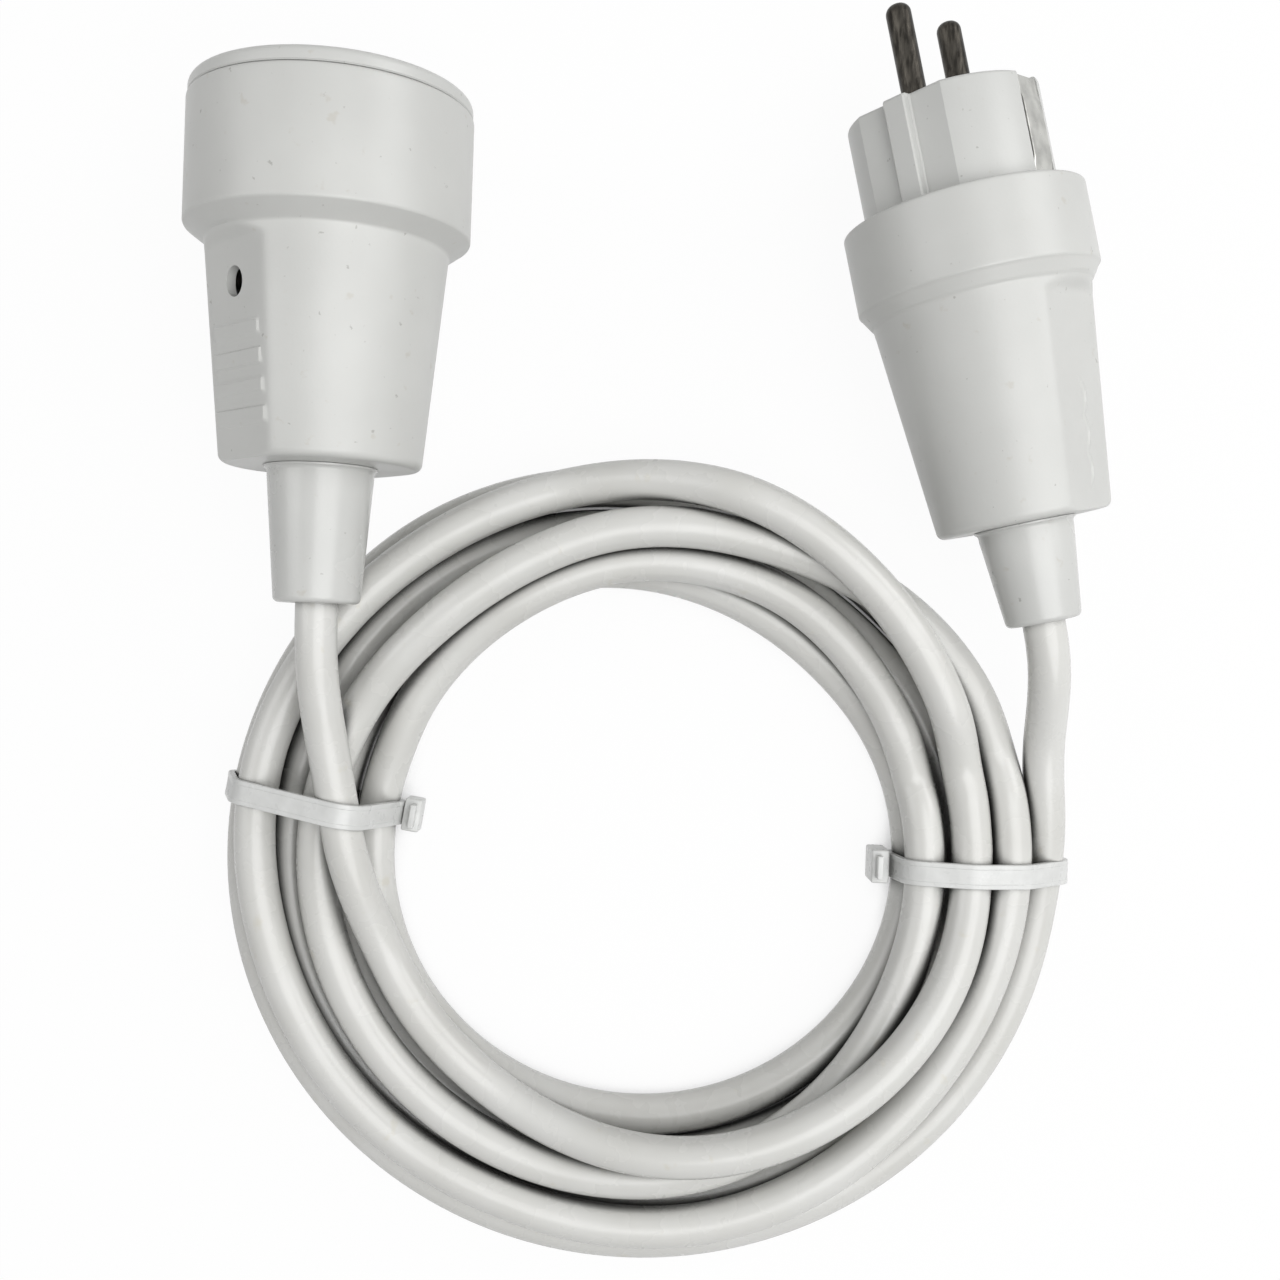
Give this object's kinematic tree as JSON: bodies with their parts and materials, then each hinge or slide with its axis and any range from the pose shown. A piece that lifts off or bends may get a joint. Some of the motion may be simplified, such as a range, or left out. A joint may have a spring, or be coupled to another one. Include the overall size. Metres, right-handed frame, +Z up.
{
  "type": "extension cord",
  "caption": "Earthed two-pin extension cord: a round trailing socket and a matching plug on a white flex, wound in a flat coil and held by cable ties.",
  "frame": {"origin": "on the resting surface, under the middle of the plug's and the socket's common box", "axes": "+Z up from the surface, +Y towards the mating sides of both ends, +X from the socket towards the plug"},
  "size_m": [0.1774, 0.25, 0.0539],
  "materials": {
    "white_plastic": "satin moulded white",
    "guard_pvc": "soft satin white",
    "cord_pvc": "satin soft PVC",
    "tie_nylon": "translucent natural nylon",
    "contact_brass": "bright",
    "nickel_plate": "dull nickel",
    "screw_steel": "zinc plated",
    "core_brown": "insulation",
    "core_blue": "insulation",
    "core_green_yellow": "striped insulation"
  },
  "bodies": {
    "cord_set": {"cord_coil": "cord_pvc", "cord_tail_plug": "cord_pvc", "cord_tail_socket": "cord_pvc", "plug_bend_guard": "guard_pvc", "plug_clamp_screw_a": "screw_steel", "plug_clamp_screw_b": "screw_steel", "plug_cord_clamp": "white_plastic", "plug_earth_bridge": "contact_brass", "plug_earth_contact_a": "nickel_plate", "plug_earth_contact_b": "nickel_plate", "plug_earth_core": "core_green_yellow", "plug_earth_terminal_screw": "screw_steel", "plug_face_insert": "white_plastic", "plug_housing_screw": "screw_steel", "plug_jacket_end": "cord_pvc", "plug_line_core": "core_brown", "plug_line_pin": "nickel_plate", "plug_line_terminal_screw": "screw_steel", "plug_neutral_core": "core_blue", "plug_neutral_pin": "nickel_plate", "plug_neutral_terminal_screw": "screw_steel", "plug_shell": "white_plastic", "socket_bend_guard": "guard_pvc", "socket_clamp_screw_a": "screw_steel", "socket_clamp_screw_b": "screw_steel", "socket_cord_clamp": "white_plastic", "socket_earth_bridge": "contact_brass", "socket_earth_core": "core_green_yellow", "socket_earth_terminal_screw": "screw_steel", "socket_face_insert": "white_plastic", "socket_housing_screw": "screw_steel", "socket_jacket_end": "cord_pvc", "socket_line_contact": "contact_brass", "socket_line_core": "core_brown", "socket_line_terminal_screw": "screw_steel", "socket_neutral_contact": "contact_brass", "socket_neutral_core": "core_blue", "socket_neutral_terminal_screw": "screw_steel", "socket_shell": "white_plastic", "tie_left": "tie_nylon", "tie_right": "tie_nylon"},
    "spring_a": {"socket_earth_spring_a": "nickel_plate"},
    "spring_b": {"socket_earth_spring_b": "nickel_plate"}
  },
  "joints": [
    {"name": "earth_spring_a_flex", "type": "hinge", "parent": "cord_set", "child": "spring_a", "pos_m": [-0.07524, 0.02135, 0.04058], "axis": [0.7067, -0.0234, 0.7071], "range_deg": [0, 4], "stiffness_Nm_per_rad": 2},
    {"name": "earth_spring_b_flex", "type": "hinge", "parent": "cord_set", "child": "spring_b", "pos_m": [-0.0481, 0.02045, 0.01342], "axis": [-0.7067, 0.0234, -0.7071], "range_deg": [0, 4], "stiffness_Nm_per_rad": 2}
  ]
}
